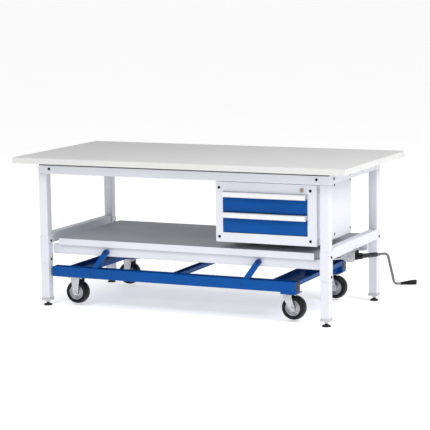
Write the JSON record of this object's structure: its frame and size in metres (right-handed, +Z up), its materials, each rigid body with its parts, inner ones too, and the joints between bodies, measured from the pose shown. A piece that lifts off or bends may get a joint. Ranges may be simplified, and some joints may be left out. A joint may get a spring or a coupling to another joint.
{
  "type": "workbench with drawers",
  "caption": "Steel-framed workbench with a drawer cabinet, lower shelf, levelling feet and a crank-lowered chassis on casters.",
  "frame": {"origin": "on the floor, under the middle of the whole box (worktop, and the crank that reaches past it)", "axes": "+X along the worktop towards the crank, +Y to the back, +Z up"},
  "size_m": [2.236, 1, 0.86],
  "materials": {
    "white_coat": "semi-gloss powder coat",
    "blue_coat": "semi-gloss powder coat",
    "worktop_laminate": "grey high-pressure laminate on board, satin",
    "packing": "dark matt packing strip",
    "grey_steel": "light grey powder coat",
    "zinc": "zinc plated",
    "bright_steel": "turned, lightly oiled",
    "black_plastic": "satin moulded",
    "tyre": "solid rubber",
    "nickel": "nickel plated"
  },
  "bodies": {
    "bench": {"worktop": "worktop_laminate", "worktop_packing": "packing", "top_rail_front": "white_coat", "top_rail_back": "white_coat", "top_rail_left": "white_coat", "top_rail_right": "white_coat", "leg_front_left": "white_coat", "leg_front_right": "white_coat", "leg_back_left": "white_coat", "leg_back_right": "white_coat", "lower_beam_front": "white_coat", "lower_beam_back": "white_coat", "side_beam_left": "white_coat", "side_beam_right": "white_coat", "shelf": "grey_steel", "cabinet_shell": "white_coat", "cabinet_front_frame": "white_coat", "drawer_runner_left": "zinc", "drawer_runner_right": "zinc", "spindle_bracket": "zinc"},
    "chassis": {"chassis_rail_front": "blue_coat", "chassis_rail_back": "blue_coat", "chassis_cross_left": "blue_coat", "chassis_cross_middle": "blue_coat", "chassis_cross_right": "blue_coat", "caster_plate_front": "zinc", "caster_plate_back": "zinc", "caster_fork_front_left": "zinc", "caster_fork_back_left": "zinc"},
    "nut": {"spindle_nut": "zinc"},
    "trunnion": {"spindle_trunnion": "zinc", "thrust_housing": "black_plastic"},
    "crank": {"lift_spindle": "bright_steel", "crank_handle": "zinc"},
    "grip": {"crank_grip": "black_plastic"},
    "lock": {"lock_barrel": "nickel"},
    "lift_arm_front_left": {"lift_arm_front_left": "blue_coat"},
    "lift_arm_back_left": {"lift_arm_back_left": "blue_coat"},
    "lift_arm_front_right": {"lift_arm_front_right": "blue_coat"},
    "lift_arm_back_right": {"lift_arm_back_right": "blue_coat"},
    "swivel_front": {"caster_fork_front_right": "zinc"},
    "wheel_front_left": {"tyre_front_left": "tyre", "wheel_rim_front_left": "zinc"},
    "wheel_front_right": {"tyre_front_right": "tyre", "wheel_rim_front_right": "zinc"},
    "swivel_back": {"caster_fork_back_right": "zinc"},
    "wheel_back_left": {"tyre_back_left": "tyre", "wheel_rim_back_left": "zinc"},
    "wheel_back_right": {"tyre_back_right": "tyre", "wheel_rim_back_right": "zinc"},
    "foot_front_left": {"levelling_foot_front_left": "zinc"},
    "foot_front_right": {"levelling_foot_front_right": "zinc"},
    "foot_back_left": {"levelling_foot_back_left": "zinc"},
    "foot_back_right": {"levelling_foot_back_right": "zinc"},
    "drawer_upper": {"drawer_upper_box": "grey_steel", "drawer_upper_front": "blue_coat", "drawer_upper_handle": "white_coat"},
    "drawer_lower": {"drawer_lower_box": "grey_steel", "drawer_lower_front": "blue_coat", "drawer_lower_handle": "white_coat"}
  },
  "joints": [
    {"name": "trunnion_tilt", "type": "hinge", "parent": "bench", "child": "trunnion", "pos_m": [0.73201, 0, 0.315], "axis": [0, -1, 0], "range_deg": [0, 17.61]},
    {"name": "crank_turn", "type": "hinge", "parent": "trunnion", "child": "crank", "pos_m": [0.73201, 0, 0.315], "axis": [0.989, 0, 0.1477], "range_deg": [0, 7350.21]},
    {"name": "grip_spin", "type": "hinge", "parent": "crank", "child": "grip", "pos_m": [0.7573, 0, 0.14568], "axis": [0.989, 0, 0.1477], "continuous": true},
    {"name": "lift_arm_front_left_swing", "type": "hinge", "parent": "bench", "child": "lift_arm_front_left", "pos_m": [-0.59349, -0.378, 0.326], "axis": [0, -1, 0], "range_deg": [0, 36]},
    {"name": "lift_arm_back_left_swing", "type": "hinge", "parent": "bench", "child": "lift_arm_back_left", "pos_m": [-0.59349, 0.378, 0.326], "axis": [0, -1, 0], "range_deg": [0, 36]},
    {"name": "lift_arm_front_right_swing", "type": "hinge", "parent": "bench", "child": "lift_arm_front_right", "pos_m": [0.33951, -0.378, 0.326], "axis": [0, -1, 0], "range_deg": [0, 36]},
    {"name": "lift_arm_back_right_swing", "type": "hinge", "parent": "bench", "child": "lift_arm_back_right", "pos_m": [0.33951, 0.378, 0.326], "axis": [0, -1, 0], "range_deg": [0, 36]},
    {"name": "chassis_level", "type": "hinge", "parent": "lift_arm_front_left", "child": "chassis", "pos_m": [-0.68754, -0.378, 0.19656], "axis": [0, -1, 0], "range_deg": [-36, 0]},
    {"name": "nut_tilt", "type": "hinge", "parent": "chassis", "child": "nut", "pos_m": [0.50701, 0, 0.2814], "axis": [0, -1, 0], "range_deg": [0, 17.61]},
    {"name": "caster_swivel_front", "type": "hinge", "parent": "chassis", "child": "swivel_front", "pos_m": [0.49801, -0.325, 0.16], "axis": [0, 0, 1], "continuous": true},
    {"name": "wheel_front_left_spin", "type": "hinge", "parent": "chassis", "child": "wheel_front_left", "pos_m": [-0.80799, -0.325, 0.078], "axis": [0, 1, 0], "continuous": true},
    {"name": "wheel_front_right_spin", "type": "hinge", "parent": "swivel_front", "child": "wheel_front_right", "pos_m": [0.52601, -0.325, 0.078], "axis": [0, 1, 0], "continuous": true},
    {"name": "caster_swivel_back", "type": "hinge", "parent": "chassis", "child": "swivel_back", "pos_m": [0.49801, 0.325, 0.16], "axis": [0, 0, 1], "continuous": true},
    {"name": "wheel_back_left_spin", "type": "hinge", "parent": "chassis", "child": "wheel_back_left", "pos_m": [-0.80799, 0.325, 0.078], "axis": [0, 1, 0], "continuous": true},
    {"name": "wheel_back_right_spin", "type": "hinge", "parent": "swivel_back", "child": "wheel_back_right", "pos_m": [0.52601, 0.325, 0.078], "axis": [0, 1, 0], "continuous": true},
    {"name": "foot_front_left_screw", "type": "slide", "parent": "bench", "child": "foot_front_left", "axis": [0, 0, -1], "range_m": [0, 0.025]},
    {"name": "foot_front_right_screw", "type": "slide", "parent": "bench", "child": "foot_front_right", "axis": [0, 0, -1], "range_m": [0, 0.025]},
    {"name": "foot_back_left_screw", "type": "slide", "parent": "bench", "child": "foot_back_left", "axis": [0, 0, -1], "range_m": [0, 0.025]},
    {"name": "foot_back_right_screw", "type": "slide", "parent": "bench", "child": "foot_back_right", "axis": [0, 0, -1], "range_m": [0, 0.025]},
    {"name": "drawer_upper_slide", "type": "slide", "parent": "bench", "child": "drawer_upper", "axis": [0, -1, 0], "range_m": [0, 0.4]},
    {"name": "drawer_lower_slide", "type": "slide", "parent": "bench", "child": "drawer_lower", "axis": [0, -1, 0], "range_m": [0, 0.4]},
    {"name": "lock_turn", "type": "hinge", "parent": "bench", "child": "lock", "pos_m": [0.60401, -0.405, 0.731], "axis": [0, -1, 0], "range_deg": [0, 90]}
  ],
  "couplings": [
    {"joint": "trunnion_tilt", "follows": "crank_turn", "ratio": 0.0023955},
    {"joint": "lift_arm_front_left_swing", "follows": "crank_turn", "ratio": 0.0048978},
    {"joint": "lift_arm_back_left_swing", "follows": "crank_turn", "ratio": 0.0048978},
    {"joint": "lift_arm_front_right_swing", "follows": "crank_turn", "ratio": 0.0048978},
    {"joint": "lift_arm_back_right_swing", "follows": "crank_turn", "ratio": 0.0048978},
    {"joint": "chassis_level", "follows": "crank_turn", "ratio": -0.0048978},
    {"joint": "nut_tilt", "follows": "crank_turn", "ratio": 0.0023955}
  ]
}
